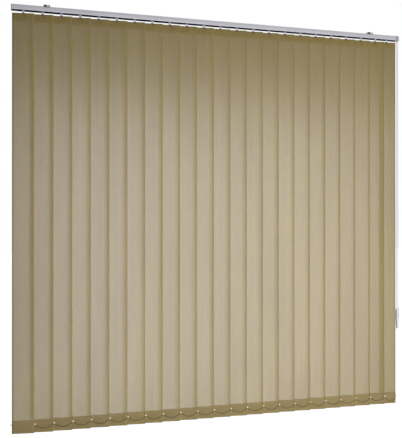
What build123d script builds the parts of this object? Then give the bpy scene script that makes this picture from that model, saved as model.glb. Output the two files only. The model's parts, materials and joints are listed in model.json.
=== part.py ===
from build123d import *
import os
from math import cos, pi, radians, sin, sqrt

# Vertical blind with 23 louvres, closed and drawn across, in millimetres.
# +X runs along the headrail to the right as seen from the room, -Y points into the room, +Z is up.
# The origin is midway between the two ceiling screws, on the ceiling.

# Driving dimensions: louvres
LOUVRE_COUNT = 23
LOUVRE_WIDTH = 89.0
LOUVRE_DROP = 1717.0
LOUVRE_PITCH = 77.0
LAST_GAP = 60.0
CLOSED_ANGLE = 8.0
FABRIC_THICKNESS = 0.4
TOP_POCKET_HEIGHT = 30.0
FOOT_POCKET_HEIGHT = 49.0
POCKET_CAVITY = 0.9
POCKET_WALL = 0.3
POCKET_TAPER = 3.0

# Driving dimensions: hanger, weight plate and their ears
PLATE_THICKNESS = 0.7
PLATE_CLEARANCE = 0.1
PLATE_SIDE_GAP = 2.0
HANGER_HEIGHT = 24.0
HANGER_TAB_WIDTH = 9.0
HANGER_TAB_RISE = 6.6
HANGER_WINDOW = 3.2
WEIGHT_HEIGHT = 40.0
EAR_REACH = 3.0
EAR_HEIGHT = 4.0
EAR_LEVEL = 36.0

# Driving dimensions: headrail
RAIL_LEFT_MARGIN = 1.0
RAIL_DEPTH = 27.0
RAIL_HEIGHT = 21.0
RAIL_WALL = 1.2
RAIL_SLOT = 9.0
RAIL_DROP = 7.0
GRIP_GROOVE_DEPTH = 0.6
GRIP_GROOVE_HEIGHT = 1.4
GRIP_GROOVE_LEVEL = 1.8
FABRIC_GAP = 9.7

# Driving dimensions: carriers
CARRIER_LENGTH = 11.8
CARRIER_TOP_GAP = 2.6
CARRIER_TOP_WIDTH = 13.8
CARRIER_SHOULDER_DROP = 2.8
CARRIER_BODY_WIDTH = 22.4
CARRIER_BODY_HEIGHT = 7.8
CARRIER_FOOT_WIDTH = 17.2
CARRIER_FOOT_GAP = 0.4
CARRIER_NECK_WIDTH = 7.6
CARRIER_NECK_REACH = 1.5
ROLLER_RADIUS = 2.4
ROLLER_WIDTH = 2.7
ROLLER_ROOT = 0.5
ROLLER_LIP_GAP = 0.05
LINK_THICKNESS = 0.25
LINK_WIDTH = 6.0
LINK_OVERREACH = 12.0
LINK_RISE = 2.25
LINK_GAP = 0.05
LINK_MARGIN = 0.5

# Driving dimensions: stem, hook and tilt drive
STEM_RADIUS = 2.4
STEM_CLEARANCE = 0.25
PINION_RADIUS = 3.8
PINION_ROOT_RADIUS = 2.9
PINION_TEETH = 6
PINION_HEIGHT = 4.4
PINION_LEVEL = 11.2
PINION_CLEARANCE = 0.25
ROD_OFFSET = 6.4
ROD_RADIUS = 2.2
ROD_CLEARANCE = 0.2
FLUTE_DEPTH = 0.6
FLUTE_COUNT = 3
HOOK_WIDTH = 7.0
HOOK_DEPTH = 4.6
HOOK_TOP = 1.8
HOOK_BRIDGE = 0.9
HOOK_SLOT = 1.4
HOOK_PIN = 2.0

# Driving dimensions: ends, pulleys and brackets
END_OVERHANG = 0.3
END_DROP = 1.0
CAP_THICKNESS = 3.0
CAP_CHAMFER = 1.2
PLUG_LENGTH = 24.0
PLUG_CLEARANCE = 0.25
PULLEY_RADIUS = 9.2
PULLEY_WEB_RADIUS = 7.1
PULLEY_FLANGE = 0.8
PULLEY_GROOVE = 1.8
PULLEY_PIN_RADIUS = 1.5
PULLEY_BORE_CLEARANCE = 0.15
PULLEY_SIDE_GAP = 0.3
CORD_SEAT_GAP = 0.1
CONTROL_MARGIN = 15.0
CONTROL_LENGTH = 19.0
CONTROL_END_WALL = 1.7
CORD_WHEEL_RADIUS = 5.7
CORD_WHEEL_LENGTH = 6.0
CORD_WHEEL_CLEARANCE = 0.4
CORD_WHEEL_SEAT = 0.02
CORD_WHEEL_GROOVE = 2.2
BRACKET_SPACING = 1490.0
BRACKET_LENGTH = 24.0
BRACKET_SHEET = 1.5
BRACKET_SCREW_HOLE = 5.0
BRACKET_JAW_CLEARANCE = 0.1

# Driving dimensions: cords, weight on the pull cord and stabilising chains
TRAVERSE_CORD_DIAMETER = 1.6
TRAVERSE_CORD_RISE = 0.4
CORD_TURN_SHARE = 0.45
PULL_CORD_DIAMETER = 1.8
PULL_LOOP_RADIUS = 5.0
PULL_WEIGHT_TOP = 1305.0
PULL_WEIGHT_LENGTH = 96.0
PULL_WEIGHT_RADIUS = 7.25
PULL_WEIGHT_TIP_RADIUS = 4.0
PULL_WEIGHT_SLOT = 2.6
PULL_BAR_ROOT = 0.5
PULL_LOOP_DEPTH = 40.0
CLIP_RADIUS = 2.9
CLIP_THICKNESS = 1.8
CHAIN_LENGTH = 88.0
CHAIN_WIDTH = 1.6
CHAIN_LINKS = 3
CHAIN_STANDOFF = 0.15

# Number of flats on round forms, kept low where they are small or hidden
SMALL_SIDES = 8
PULLEY_SIDES = 12
WEIGHT_SIDES = 12
CORD_SIDES = 6

# Levels worked out from the sizes above
rail_top = -RAIL_DROP
rail_bottom = rail_top - RAIL_HEIGHT
channel_top = rail_top - RAIL_WALL
lip_top = rail_bottom + RAIL_WALL
channel_half_width = RAIL_DEPTH / 2 - RAIL_WALL
fabric_top = rail_bottom - FABRIC_GAP
fabric_bottom = fabric_top - LOUVRE_DROP
carrier_top = channel_top - CARRIER_TOP_GAP
shoulder_level = carrier_top - CARRIER_SHOULDER_DROP
body_floor = shoulder_level - CARRIER_BODY_HEIGHT
foot_floor = lip_top + CARRIER_FOOT_GAP
neck_floor = rail_bottom - CARRIER_NECK_REACH + RAIL_WALL
pinion_middle = rail_top - PINION_LEVEL
pinion_bottom = pinion_middle - PINION_HEIGHT / 2
hook_top = rail_bottom - HOOK_TOP
plate_half_width = LOUVRE_WIDTH / 2 - PLATE_SIDE_GAP
pocket_outer = POCKET_CAVITY + 2 * POCKET_WALL
end_half_depth = RAIL_DEPTH / 2 + END_OVERHANG
end_top = rail_top + END_OVERHANG
end_bottom = rail_bottom - END_DROP
cord_level = shoulder_level + TRAVERSE_CORD_RISE + TRAVERSE_CORD_DIAMETER / 2
pulley_cord_radius = PULLEY_WEB_RADIUS + CORD_SEAT_GAP + TRAVERSE_CORD_DIAMETER / 2
pulley_half_height = PULLEY_GROOVE / 2 + PULLEY_FLANGE

# The hooks stand at one pitch, with a shorter gap before the fixed end at the right
hook_span = (LOUVRE_COUNT - 2) * LOUVRE_PITCH + LAST_GAP
hook_positions = [index * LOUVRE_PITCH - hook_span / 2 for index in range(LOUVRE_COUNT - 1)]
hook_positions.append(hook_span / 2)

# The rail reaches just past the leading louvre, and the control end past the last one
rail_left_x = -hook_span / 2 - LOUVRE_WIDTH / 2 - RAIL_LEFT_MARGIN
control_end_x = hook_span / 2 + LOUVRE_WIDTH / 2 + CONTROL_MARGIN
rail_right_x = control_end_x - CONTROL_LENGTH
left_pulley_x = rail_left_x + PLUG_LENGTH / 2
right_pulley_x = rail_right_x - PLUG_LENGTH / 2
cord_wheel_x = control_end_x - CONTROL_END_WALL - CORD_WHEEL_CLEARANCE - CORD_WHEEL_LENGTH / 2
rod_right_x = cord_wheel_x + CORD_WHEEL_LENGTH / 2


def louvre_direction():
    """Unit vector along a closed louvre, from its rear left edge to its front right edge."""
    angle = radians(CLOSED_ANGLE)
    return Vector(cos(angle), -sin(angle), 0)


def louvre_normal():
    """Unit vector square to a closed louvre, pointing away from the room."""
    angle = radians(CLOSED_ANGLE)
    return Vector(sin(angle), cos(angle), 0)


def face_plane(level):
    """Plane of the face of the louvre at x = 0: x along the louvre, y up, at one level."""
    return Plane(origin=(0, 0, level), x_dir=louvre_direction(), z_dir=-louvre_normal())


def edge_plane():
    """Plane across the louvre at x = 0: x away from the room, y up from the ceiling."""
    return Plane(origin=(0, 0, 0), x_dir=louvre_normal(), z_dir=louvre_direction())


def section_plane(x):
    """Plane across the headrail: x is +Y, y is +Z, the normal is +X."""
    return Plane(origin=(x, 0, 0), x_dir=(0, 1, 0), z_dir=(1, 0, 0))


def upright_plane(x, y, z):
    """Plane that faces the room: x is +X, y is +Z."""
    return Plane(origin=(x, y, z), x_dir=(1, 0, 0), z_dir=(0, -1, 0))


def shaft(radius, sides):
    """Draw a shaft's outline with a number of flats, its corners on the radius."""
    return RegularPolygon(radius, sides)


def bore(radius, sides, mode=Mode.ADD):
    """Draw a bore's outline with a number of flats, the flats on the radius."""
    return RegularPolygon(radius, sides, major_radius=False, mode=mode)


def save(piece, name):
    """Label a finished piece and write its STEP file."""
    piece.label = name
    export_step(piece, f"parts/{name}.step")


def save_at(pieces, hook_x, name):
    """Write copies of pieces that were made at x = 0, moved to one hook."""
    place = Location((hook_x, 0, 0))
    solids = [solid.moved(place) for piece in pieces for solid in piece.solids()]
    save(Compound(children=solids), name)


def ear_level():
    """Height of the chain ears above the ceiling origin."""
    return fabric_bottom + EAR_LEVEL


def chain_sag(span):
    """Depth of a shallow catenary of the chain's length hung over a span."""
    return sqrt(3 / 8 * span * (CHAIN_LENGTH - span))


def make_fabric():
    """Fabric louvre: one sheet with a sewn pocket at its top and a deeper one at its foot."""
    sheet = FABRIC_THICKNESS / 2
    outer = pocket_outer / 2
    cavity = POCKET_CAVITY / 2
    top_seam = fabric_top - TOP_POCKET_HEIGHT
    foot_seam = fabric_bottom + FOOT_POCKET_HEIGHT
    with BuildPart() as fabric:
        with BuildSketch(edge_plane()):
            with BuildLine():
                Polyline(
                    (0, fabric_top),
                    (outer, fabric_top - POCKET_WALL),
                    (outer, top_seam + POCKET_TAPER),
                    (sheet, top_seam),
                    (sheet, foot_seam),
                    (outer, foot_seam - POCKET_TAPER),
                    (outer, fabric_bottom + POCKET_WALL),
                    (0, fabric_bottom),
                )
                mirror(about=Plane.YZ)
            make_face()
            with Locations((0, (fabric_top + top_seam) / 2)):
                Rectangle(2 * cavity, TOP_POCKET_HEIGHT - 2 * POCKET_TAPER, mode=Mode.SUBTRACT)
            with Locations((0, (fabric_bottom + foot_seam) / 2)):
                Rectangle(2 * cavity, FOOT_POCKET_HEIGHT - 2 * POCKET_TAPER, mode=Mode.SUBTRACT)
        extrude(amount=LOUVRE_WIDTH / 2, both=True)
        # The top pocket is slit where the hanger's tab comes through
        with BuildSketch(face_plane(fabric_top)):
            Rectangle(HANGER_TAB_WIDTH + 2 * PLATE_CLEARANCE, 3 * POCKET_TAPER)
        extrude(amount=pocket_outer, both=True, mode=Mode.SUBTRACT)
    return fabric.part


def make_hanger():
    """Hanger plate in the top pocket, with a windowed tab that the hook holds."""
    plate_top = fabric_top - POCKET_TAPER - PLATE_CLEARANCE
    tab_top = fabric_top + HANGER_TAB_RISE
    window_middle = tab_top - HANGER_WINDOW
    with BuildPart() as hanger:
        with BuildSketch(face_plane(0)):
            with Locations((0, plate_top - HANGER_HEIGHT / 2 + PLATE_CLEARANCE)):
                Rectangle(2 * plate_half_width, HANGER_HEIGHT - 2 * PLATE_CLEARANCE)
            with Locations((0, (tab_top + plate_top) / 2 - POCKET_TAPER / 2)):
                Rectangle(HANGER_TAB_WIDTH, tab_top - plate_top + POCKET_TAPER)
            with Locations((0, window_middle)):
                Rectangle(HANGER_WINDOW, HANGER_WINDOW, mode=Mode.SUBTRACT)
        extrude(amount=PLATE_THICKNESS / 2, both=True)
    return hanger.part


def make_weight_plate():
    """Weight plate in the foot pocket, with an ear past each edge that ends in a round chain clip."""
    reach = LOUVRE_WIDTH / 2 + EAR_REACH
    with BuildPart() as plate:
        with BuildSketch(face_plane(fabric_bottom + FOOT_POCKET_HEIGHT / 2)):
            Rectangle(2 * plate_half_width, WEIGHT_HEIGHT)
        extrude(amount=PLATE_THICKNESS / 2, both=True)
        with BuildSketch(face_plane(ear_level())):
            Rectangle(2 * reach, EAR_HEIGHT)
        extrude(amount=PLATE_THICKNESS / 2, both=True)
        with BuildSketch(face_plane(ear_level())):
            with Locations((reach, 0), (-reach, 0)):
                shaft(CLIP_RADIUS, SMALL_SIDES)
        extrude(amount=CLIP_THICKNESS / 2, both=True)
    return plate.part


def pinion_outline():
    """Points of the pinion's rim, tooth tip and root in turn."""
    rim = []
    for tooth in range(PINION_TEETH):
        for half, radius in enumerate((PINION_RADIUS, PINION_ROOT_RADIUS)):
            angle = 2 * pi * (tooth + half / 2) / PINION_TEETH
            rim.append((radius * cos(angle), radius * sin(angle)))
    return rim


def make_hook():
    """Hanger stem: toothed pinion in the carrier, round neck, and a forked hook with a cross bar."""
    fork_bottom = fabric_top + HANGER_TAB_RISE - 2 * HANGER_WINDOW
    window_half = (HANGER_WINDOW - HOOK_PIN) / 2
    bar_level = fabric_top + HANGER_TAB_RISE - HANGER_WINDOW + window_half - PLATE_CLEARANCE
    with BuildPart() as hook:
        with BuildSketch(Plane(origin=(0, 0, pinion_bottom))):
            with BuildLine():
                Polyline(*pinion_outline(), close=True)
            make_face()
        extrude(amount=PINION_HEIGHT)
        with BuildSketch(Plane(origin=(0, 0, hook_top))):
            shaft(STEM_RADIUS, SMALL_SIDES)
        extrude(amount=pinion_bottom - hook_top)
        with BuildSketch(face_plane(0)):
            with Locations((0, (hook_top + fork_bottom) / 2)):
                Rectangle(HOOK_WIDTH, hook_top - fork_bottom)
        extrude(amount=HOOK_DEPTH / 2, both=True)
        with BuildSketch(face_plane(0)):
            with Locations((0, (hook_top + fork_bottom) / 2 - HOOK_BRIDGE)):
                Rectangle(2 * HOOK_WIDTH, hook_top - fork_bottom)
        extrude(amount=HOOK_SLOT / 2, both=True, mode=Mode.SUBTRACT)
        with BuildSketch(face_plane(0)):
            with Locations((0, bar_level)):
                Rectangle(HOOK_PIN, HOOK_PIN)
        extrude(amount=HOOK_DEPTH / 2, both=True)
    return hook.part


def make_louvre():
    """One louvre with all that turns with it: fabric, hanger, weight plate with its clips, and hook."""
    return [
        make_fabric(),
        make_hanger(),
        make_weight_plate(),
        make_hook(),
    ]


def make_carrier_body():
    """Moulded carrier: bores for the stem and the rod, and two rollers that run on the rail's lips."""
    half_top = CARRIER_TOP_WIDTH / 2
    half_body = CARRIER_BODY_WIDTH / 2
    half_foot = CARRIER_FOOT_WIDTH / 2
    half_neck = CARRIER_NECK_WIDTH / 2
    roller_level = lip_top + ROLLER_RADIUS + ROLLER_LIP_GAP
    with BuildPart() as carrier:
        with BuildSketch(section_plane(0)):
            with BuildLine():
                Polyline(
                    (0, carrier_top),
                    (half_top, carrier_top),
                    (half_top, shoulder_level),
                    (half_body, shoulder_level),
                    (half_body, body_floor),
                    (half_foot, body_floor),
                    (half_foot, foot_floor),
                    (half_neck, foot_floor),
                    (half_neck, neck_floor),
                    (0, neck_floor),
                )
                mirror(about=Plane.YZ)
            make_face()
            with Locations((-ROD_OFFSET, pinion_middle)):
                bore(ROD_RADIUS + ROD_CLEARANCE, SMALL_SIDES, Mode.SUBTRACT)
        extrude(amount=CARRIER_LENGTH / 2, both=True)
        with BuildSketch(Plane(origin=(0, 0, pinion_bottom - PINION_CLEARANCE))):
            bore(PINION_RADIUS + PINION_CLEARANCE, SMALL_SIDES)
        extrude(amount=PINION_HEIGHT + 2 * PINION_CLEARANCE, mode=Mode.SUBTRACT)
        with BuildSketch(Plane(origin=(0, 0, neck_floor))):
            bore(STEM_RADIUS + STEM_CLEARANCE, SMALL_SIDES)
        extrude(amount=pinion_middle - neck_floor, mode=Mode.SUBTRACT)
        for side in (-1, 1):
            side_plane = Plane(
                origin=(0, side * (half_foot - ROLLER_ROOT), roller_level),
                x_dir=(1, 0, 0),
                z_dir=(0, side, 0),
            )
            with BuildSketch(side_plane):
                shaft(ROLLER_RADIUS, SMALL_SIDES)
            extrude(amount=ROLLER_ROOT + ROLLER_WIDTH)
    return carrier.part


def make_spacer_link():
    """Thin strip that reaches back over the carrier to the left and rises, so that stacked links nest."""
    start_x = CARRIER_LENGTH / 2 - LINK_MARGIN
    end_x = -LOUVRE_PITCH - LINK_OVERREACH / 2
    low = carrier_top + LINK_GAP
    with BuildPart() as link:
        with BuildSketch(Plane.XZ):
            with BuildLine():
                Polyline(
                    (start_x, low),
                    (start_x, low + LINK_THICKNESS),
                    (end_x, low + LINK_RISE),
                    (end_x, low + LINK_RISE - LINK_THICKNESS),
                    close=True,
                )
            make_face()
        extrude(amount=LINK_WIDTH / 2, both=True)
    return link.part


def make_headrail():
    """Extruded rail, open below between two lips, with a grip groove along each face."""
    groove_level = rail_top - GRIP_GROOVE_LEVEL
    with BuildPart() as rail:
        with BuildSketch(section_plane(rail_left_x)):
            with Locations((0, (rail_top + rail_bottom) / 2)):
                Rectangle(RAIL_DEPTH, RAIL_HEIGHT)
                Rectangle(RAIL_DEPTH - 2 * RAIL_WALL, RAIL_HEIGHT - 2 * RAIL_WALL, mode=Mode.SUBTRACT)
            with Locations((0, rail_bottom)):
                Rectangle(RAIL_SLOT, 4 * RAIL_WALL, mode=Mode.SUBTRACT)
            with Locations((-RAIL_DEPTH / 2, groove_level), (RAIL_DEPTH / 2, groove_level)):
                Rectangle(2 * GRIP_GROOVE_DEPTH, GRIP_GROOVE_HEIGHT, mode=Mode.SUBTRACT)
        extrude(amount=rail_right_x - rail_left_x)
    save(rail.part, "headrail")


def make_plug(inner_x, outer_x):
    """Plug that fits the rail's channel, with two shelves and a pin for a pulley."""
    half_width = channel_half_width - PLUG_CLEARANCE
    plug_top = channel_top - PLUG_CLEARANCE
    plug_bottom = lip_top + PLUG_CLEARANCE
    shelf_gap = pulley_half_height + PULLEY_SIDE_GAP
    with BuildPart() as plug:
        for low, high in ((plug_bottom, cord_level - shelf_gap), (cord_level + shelf_gap, plug_top)):
            with BuildSketch(section_plane(inner_x)):
                with Locations((0, (low + high) / 2)):
                    Rectangle(2 * half_width, high - low)
            extrude(amount=outer_x - inner_x)
        with BuildSketch(Plane(origin=((inner_x + outer_x) / 2, 0, cord_level - shelf_gap))):
            shaft(PULLEY_PIN_RADIUS, SMALL_SIDES)
        extrude(amount=2 * shelf_gap)
        with BuildSketch(section_plane(inner_x)):
            with Locations((-ROD_OFFSET, pinion_middle)):
                bore(ROD_RADIUS + ROD_CLEARANCE, SMALL_SIDES)
        extrude(amount=outer_x - inner_x, mode=Mode.SUBTRACT)
    return plug.part


def make_end_block(start_x, length, outer_side):
    """Block as large as the rail's section and a little more, bevelled on its sides and outer rim."""
    with BuildPart() as block:
        with BuildSketch(section_plane(start_x)) as section:
            with Locations((0, (end_top + end_bottom) / 2)):
                Rectangle(2 * end_half_depth, end_top - end_bottom)
            chamfer(section.vertices(), CAP_CHAMFER)
        extrude(amount=length)
        chamfer(block.faces().sort_by(Axis.X)[outer_side].edges(), CAP_CHAMFER)
    return block.part


def make_left_end_cap():
    """Moulded end cap with a bevelled outer rim and the plug that carries the idler pulley."""
    with BuildPart() as cap:
        add(make_end_block(rail_left_x - CAP_THICKNESS, CAP_THICKNESS, 0))
        add(make_plug(rail_left_x + PLUG_LENGTH, rail_left_x))
    save(cap.part, "left_end_cap")


def make_control_housing():
    """Control end: plug with the traverse pulley, and a head that is open below round the cord wheel."""
    cavity_radius = CORD_WHEEL_RADIUS + CORD_WHEEL_CLEARANCE
    cavity_x = cord_wheel_x - CORD_WHEEL_LENGTH / 2 - CORD_WHEEL_CLEARANCE
    cavity_length = CORD_WHEEL_LENGTH + 2 * CORD_WHEEL_CLEARANCE
    with BuildPart() as housing:
        add(make_end_block(rail_right_x, CONTROL_LENGTH, -1))
        add(make_plug(rail_right_x - PLUG_LENGTH, rail_right_x))
        with BuildSketch(section_plane(rail_right_x - PLUG_LENGTH / 2)):
            with Locations((-ROD_OFFSET, pinion_middle)):
                bore(ROD_RADIUS + ROD_CLEARANCE, SMALL_SIDES)
        extrude(amount=cavity_x + PLUG_LENGTH - rail_right_x, mode=Mode.SUBTRACT)
        with BuildSketch(section_plane(cavity_x)):
            with Locations((-ROD_OFFSET, pinion_middle)):
                bore(cavity_radius, PULLEY_SIDES)
            with Locations((-ROD_OFFSET, pinion_middle - RAIL_HEIGHT / 2)):
                Rectangle(2 * cavity_radius, RAIL_HEIGHT)
        extrude(amount=cavity_length, mode=Mode.SUBTRACT)
    save(housing.part, "control_housing")


def rod_outline():
    """Points of the tilt rod's section: flats with a few of its corners cut in as flutes."""
    corners = []
    for corner in range(PULLEY_SIDES):
        fluted = corner % (PULLEY_SIDES // FLUTE_COUNT) == 0
        radius = ROD_RADIUS - FLUTE_DEPTH if fluted else ROD_RADIUS
        angle = 2 * pi * corner / PULLEY_SIDES
        corners.append((-ROD_OFFSET + radius * cos(angle), pinion_middle + radius * sin(angle)))
    return corners


def make_tilt_rod():
    """Fluted rod that turns all the pinions; three flutes key it."""
    with BuildPart() as rod:
        with BuildSketch(section_plane(left_pulley_x)):
            with BuildLine():
                Polyline(*rod_outline(), close=True)
            make_face()
        extrude(amount=rod_right_x - left_pulley_x)
    save(rod.part, "tilt_rod")


def make_cord_wheel():
    """Grooved wheel at the rod's right end, which the pull cord turns."""
    groove_radius = PULL_LOOP_RADIUS - PULL_CORD_DIAMETER / 2 - CORD_SEAT_GAP
    flange = (CORD_WHEEL_LENGTH - CORD_WHEEL_GROOVE) / 2
    start_x = cord_wheel_x - CORD_WHEEL_LENGTH / 2
    rims = (
        (start_x, flange, CORD_WHEEL_RADIUS),
        (start_x + flange, CORD_WHEEL_GROOVE, groove_radius),
        (start_x + flange + CORD_WHEEL_GROOVE, flange, CORD_WHEEL_RADIUS),
    )
    with BuildPart() as wheel:
        for rim_x, length, radius in rims:
            with BuildSketch(section_plane(rim_x)):
                with Locations((-ROD_OFFSET, pinion_middle)):
                    shaft(radius, PULLEY_SIDES)
            extrude(amount=length)
        with BuildSketch(section_plane(start_x)):
            with Locations((-ROD_OFFSET, pinion_middle)):
                bore(ROD_RADIUS + CORD_WHEEL_SEAT, PULLEY_SIDES)
        extrude(amount=CORD_WHEEL_LENGTH, mode=Mode.SUBTRACT)
    save(wheel.part, "cord_wheel")


def make_pulley(name, centre_x):
    """Grooved pulley on an upright pin, for the traverse cord."""
    bottom = cord_level - pulley_half_height
    rims = (
        (bottom, PULLEY_FLANGE, PULLEY_RADIUS),
        (bottom + PULLEY_FLANGE, PULLEY_GROOVE, PULLEY_WEB_RADIUS),
        (bottom + PULLEY_FLANGE + PULLEY_GROOVE, PULLEY_FLANGE, PULLEY_RADIUS),
    )
    with BuildPart() as pulley:
        for level, height, radius in rims:
            with BuildSketch(Plane(origin=(centre_x, 0, level))):
                shaft(radius, PULLEY_SIDES)
            extrude(amount=height)
        with BuildSketch(Plane(origin=(centre_x, 0, bottom))):
            bore(PULLEY_PIN_RADIUS + PULLEY_BORE_CLEARANCE, SMALL_SIDES)
        extrude(amount=2 * pulley_half_height, mode=Mode.SUBTRACT)
    save(pulley.part, name)


def loop_route(length, radius):
    """Corners of a cord loop in its plane: two long runs and a short one across each end."""
    return [
        (radius, -length / 2),
        (radius, radius),
        (-radius, radius),
        (-radius, -length - radius),
        (radius, -length - radius),
    ]


def make_cord_loop(name, plane, length, radius, diameter):
    """Closed loop of cord: two straight runs joined by a turn at each end of the plane's y axis."""
    with BuildPart() as cord:
        with BuildLine(plane) as loop:
            route = Polyline(*loop_route(length, radius), close=True)
            start = route @ 0
            corners = [point for point in loop.vertices() if (Vector(*point) - start).length > radius]
            fillet(corners, CORD_TURN_SHARE * 2 * radius)
        with BuildSketch(Plane(origin=start, z_dir=route % 0)):
            shaft(diameter / 2, CORD_SIDES)
        sweep()
    save(cord.part, name)


def make_cord_weight():
    """Slim weight on the pull cord, slotted from above for the loop, with a bar that the loop turns under."""
    top = -PULL_WEIGHT_TOP
    bottom = top - PULL_WEIGHT_LENGTH
    turn_level = top - PULL_LOOP_DEPTH
    taper_top = turn_level - 2 * PULL_LOOP_RADIUS
    slot_height = PULL_LOOP_DEPTH + PULL_LOOP_RADIUS + PULL_CORD_DIAMETER
    bar_radius = PULL_LOOP_RADIUS - PULL_CORD_DIAMETER / 2 - CORD_SEAT_GAP
    with BuildPart() as weight:
        with BuildSketch(Plane(origin=(cord_wheel_x, -ROD_OFFSET, bottom))):
            shaft(PULL_WEIGHT_TIP_RADIUS, WEIGHT_SIDES)
        with BuildSketch(Plane(origin=(cord_wheel_x, -ROD_OFFSET, taper_top))):
            shaft(PULL_WEIGHT_RADIUS, WEIGHT_SIDES)
        loft(ruled=True)
        with BuildSketch(Plane(origin=(cord_wheel_x, -ROD_OFFSET, taper_top))):
            shaft(PULL_WEIGHT_RADIUS, WEIGHT_SIDES)
        extrude(amount=top - taper_top)
        with BuildSketch(Plane(origin=(cord_wheel_x, -ROD_OFFSET, top - slot_height))):
            Rectangle(PULL_WEIGHT_SLOT, 3 * PULL_WEIGHT_RADIUS)
        extrude(amount=slot_height, mode=Mode.SUBTRACT)
        with BuildSketch(section_plane(cord_wheel_x)):
            with Locations((-ROD_OFFSET, turn_level)):
                shaft(bar_radius, PULLEY_SIDES)
        extrude(amount=PULL_WEIGHT_SLOT / 2 + PULL_BAR_ROOT, both=True)
    save(weight.part, "cord_weight")


def make_bracket(name, centre_x):
    """Sheet-metal ceiling clip: a plate with a screw hole and two jaws that bite the rail's grooves."""
    groove_level = rail_top - GRIP_GROOVE_LEVEL
    jaw_out = RAIL_DEPTH / 2 + BRACKET_JAW_CLEARANCE
    jaw_tip = RAIL_DEPTH / 2 - GRIP_GROOVE_DEPTH + BRACKET_JAW_CLEARANCE
    jaw_half = GRIP_GROOVE_HEIGHT / 2 - BRACKET_JAW_CLEARANCE
    with BuildPart() as bracket:
        with BuildSketch(section_plane(centre_x)):
            with BuildLine():
                Polyline(
                    (0, 0),
                    (jaw_out + BRACKET_SHEET, 0),
                    (jaw_out + BRACKET_SHEET, groove_level - jaw_half),
                    (jaw_tip, groove_level - jaw_half),
                    (jaw_tip, groove_level + jaw_half),
                    (jaw_out, groove_level + jaw_half),
                    (jaw_out, -BRACKET_SHEET),
                    (0, -BRACKET_SHEET),
                )
                mirror(about=Plane.YZ)
            make_face()
        extrude(amount=BRACKET_LENGTH / 2, both=True)
        with Locations((centre_x, 0, 0)):
            Hole(BRACKET_SCREW_HOLE / 2, depth=2 * BRACKET_SHEET)
    save(bracket.part, name)


def make_chain(name, side):
    """Stabilising chain on one side of the louvres: straight links that sag between the clips."""
    reach = LOUVRE_WIDTH / 2 + EAR_REACH
    angle = radians(CLOSED_ANGLE)
    clip_front = CLIP_THICKNESS / 2 * cos(angle) + CLIP_RADIUS * sin(angle)
    standoff = clip_front + CHAIN_STANDOFF + CHAIN_WIDTH / 2
    offset = side * (louvre_direction() * reach - Vector(0, standoff, 0))
    half = CHAIN_WIDTH / 2
    runs = []
    for left_x, right_x in zip(hook_positions, hook_positions[1:]):
        span = right_x - left_x
        sag = chain_sag(span)
        upper = []
        lower = []
        for joint in range(CHAIN_LINKS + 1):
            along = joint / CHAIN_LINKS
            x = left_x + offset.X + span * along
            z = ear_level() - 4 * sag * along * (1 - along)
            upper.append((x, z + half))
            lower.append((x, z - half))
        runs.append(upper + lower[::-1])
    with BuildPart() as chain:
        with BuildSketch(upright_plane(0, offset.Y, 0)):
            for outline in runs:
                with BuildLine():
                    Polyline(*outline, close=True)
                make_face()
        extrude(amount=half, both=True)
    save(chain.part, name)


def make_blind():
    """Build every piece of the blind and write it out."""
    os.makedirs("parts", exist_ok=True)
    louvre = make_louvre()
    leading_carrier = [make_carrier_body()]
    linked_carrier = leading_carrier + [make_spacer_link()]
    for number, hook_x in enumerate(hook_positions, start=1):
        carrier = leading_carrier if number == 1 else linked_carrier
        save_at(louvre, hook_x, f"louvre_{number:02d}")
        save_at(carrier, hook_x, f"carrier_{number:02d}")
    make_headrail()
    make_left_end_cap()
    make_control_housing()
    make_tilt_rod()
    make_cord_wheel()
    make_pulley("idler_pulley", left_pulley_x)
    make_pulley("traverse_pulley", right_pulley_x)
    make_cord_loop(
        "traverse_cord",
        Plane(origin=(right_pulley_x, 0, cord_level), x_dir=(0, -1, 0), z_dir=(0, 0, 1)),
        right_pulley_x - left_pulley_x,
        pulley_cord_radius,
        TRAVERSE_CORD_DIAMETER,
    )
    make_cord_loop(
        "pull_cord",
        Plane(origin=(cord_wheel_x, -ROD_OFFSET, pinion_middle), x_dir=(0, 1, 0), z_dir=(1, 0, 0)),
        PULL_WEIGHT_TOP + PULL_LOOP_DEPTH + pinion_middle,
        PULL_LOOP_RADIUS,
        PULL_CORD_DIAMETER,
    )
    make_cord_weight()
    make_bracket("left_bracket", -BRACKET_SPACING / 2)
    make_bracket("right_bracket", BRACKET_SPACING / 2)
    make_chain("front_chain", 1)
    make_chain("rear_chain", -1)


make_blind()
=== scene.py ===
"""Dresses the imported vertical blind: louvres, hooks, chains, a slim silver headrail and the pull cord."""

from __future__ import annotations

import json
import logging
import math
import random
from dataclasses import dataclass
from enum import Enum
from functools import cached_property
from typing import Iterable, Sequence

import bmesh
import bpy
from mathutils import Matrix, Vector

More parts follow.
